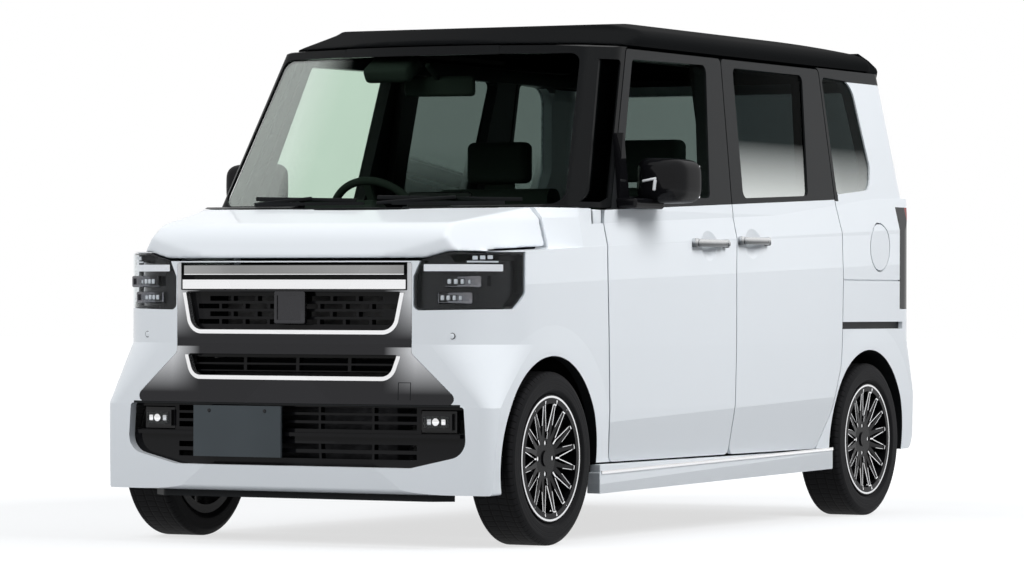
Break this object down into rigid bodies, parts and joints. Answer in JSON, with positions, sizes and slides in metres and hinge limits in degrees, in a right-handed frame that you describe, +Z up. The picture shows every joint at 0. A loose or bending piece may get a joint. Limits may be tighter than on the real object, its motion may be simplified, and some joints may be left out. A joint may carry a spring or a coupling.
{
  "type": "tall kei wagon",
  "caption": "Boxy tall kei wagon with black roof, hinged front doors, bonnet, tailgate and fuel lid, fixed sliding doors, steering and rolling wheels.",
  "frame": {"origin": "on the ground at the middle of the car's length and width", "axes": "-Y towards the front, +X towards the car's left side, +Z up"},
  "size_m": [1.77, 3.4095, 1.7887],
  "materials": {
    "white_paint": "pearl gloss",
    "black_paint": "gloss",
    "black_plastic": "satin",
    "gloss_black": "gloss",
    "smoked_chrome": "dark satin chrome",
    "chrome": "polished",
    "clear_glass": "tinted green",
    "dark_glass": "privacy tint",
    "lamp_lens": "clear",
    "lamp_dark": "smoked",
    "red_lens": "red",
    "tyre": "matte",
    "alloy": "black with machined faces",
    "iron": "plain",
    "underseal": "matt",
    "steel": "plain",
    "trim": "grained",
    "cloth": "woven",
    "plate": "matt"
  },
  "bodies": {
    "root": {"underbody": "underseal", "roof": "black_paint", "pillars": "black_plastic", "rear_quarters": "white_paint", "front_fenders": "white_paint", "front_bumper": "white_paint", "cowl": "black_plastic", "wipers": "black_plastic", "windscreen": "clear_glass", "side_windows": "dark_glass", "sliding_doors": "white_paint", "side_skirts": "white_paint", "rear_bumper": "white_paint", "tail_lamps": "red_lens", "grille_mask": "smoked_chrome", "grille_mesh": "gloss_black", "grille_bars": "chrome", "headlamp_bowls": "lamp_dark", "headlamp_lenses": "lamp_lens", "fog_lamps": "lamp_dark", "front_plate": "plate", "dashboard": "trim", "seats": "cloth", "engine": "iron", "radiator": "steel", "exhaust": "steel", "fuel_tank": "black_plastic", "front_suspension": "iron", "rear_axle": "iron"},
    "steering_wheel": {"steering_wheel": "trim"},
    "knuckle_left": {"knuckle_left": "iron"},
    "knuckle_right": {"knuckle_right": "iron"},
    "front_door_left": {"front_door_left": "white_paint", "door_glass_left": "clear_glass", "mirror_left": "gloss_black"},
    "front_door_right": {"front_door_right": "white_paint", "door_glass_right": "clear_glass", "mirror_right": "gloss_black"},
    "bonnet": {"bonnet": "white_paint"},
    "tailgate": {"tailgate": "white_paint", "tailgate_glass": "dark_glass", "spoiler": "black_paint"},
    "fuel_lid": {"fuel_lid": "white_paint"},
    "wheel_front_left": {"tyre_front_left": "tyre", "rim_front_left": "alloy"},
    "wheel_front_right": {"tyre_front_right": "tyre", "rim_front_right": "alloy"},
    "wheel_rear_left": {"tyre_rear_left": "tyre", "rim_rear_left": "alloy"},
    "wheel_rear_right": {"tyre_rear_right": "tyre", "rim_rear_right": "alloy"}
  },
  "joints": [
    {"name": "roll_front_left", "type": "hinge", "parent": "knuckle_left", "child": "wheel_front_left", "pos_m": [0.6525, -1.265, 0.281], "axis": [1, 0, 0], "continuous": true},
    {"name": "roll_front_right", "type": "hinge", "parent": "knuckle_right", "child": "wheel_front_right", "pos_m": [-0.6525, -1.265, 0.281], "axis": [1, 0, 0], "continuous": true},
    {"name": "roll_rear_left", "type": "hinge", "parent": "root", "child": "wheel_rear_left", "pos_m": [0.6525, 1.255, 0.281], "axis": [1, 0, 0], "continuous": true},
    {"name": "roll_rear_right", "type": "hinge", "parent": "root", "child": "wheel_rear_right", "pos_m": [-0.6525, 1.255, 0.281], "axis": [1, 0, 0], "continuous": true},
    {"name": "steer_left", "type": "hinge", "parent": "root", "child": "knuckle_left", "pos_m": [0.56, -1.265, 0.281], "axis": [0, 0, 1], "range_deg": [-32, 32]},
    {"name": "door_left_swing", "type": "hinge", "parent": "root", "child": "front_door_left", "pos_m": [0.733, -0.864, 0.7], "axis": [0, 0, -1], "range_deg": [0, 70]},
    {"name": "steer_right", "type": "hinge", "parent": "root", "child": "knuckle_right", "pos_m": [-0.56, -1.265, 0.281], "axis": [0, 0, 1], "range_deg": [-32, 32]},
    {"name": "door_right_swing", "type": "hinge", "parent": "root", "child": "front_door_right", "pos_m": [-0.733, -0.864, 0.7], "axis": [0, 0, 1], "range_deg": [0, 70]},
    {"name": "steering_wheel_turn", "type": "hinge", "parent": "root", "child": "steering_wheel", "pos_m": [-0.34, -0.52, 1.045], "axis": [0, 0.8829, 0.4695], "range_deg": [-520, 520]},
    {"name": "bonnet_lift", "type": "hinge", "parent": "root", "child": "bonnet", "pos_m": [0, -1.208, 1.096], "axis": [-1, 0, 0], "range_deg": [0, 55]},
    {"name": "tailgate_lift", "type": "hinge", "parent": "root", "child": "tailgate", "pos_m": [0, 1.488, 1.728], "axis": [1, 0, 0], "range_deg": [0, 85]},
    {"name": "fuel_lid_swing", "type": "hinge", "parent": "root", "child": "fuel_lid", "pos_m": [0.734, 1.264, 0.993], "axis": [0, 0, -1], "range_deg": [0, 80]}
  ],
  "couplings": [
    {"joint": "steer_right", "follows": "steer_left", "ratio": 1},
    {"joint": "steering_wheel_turn", "follows": "steer_left", "ratio": 16}
  ]
}
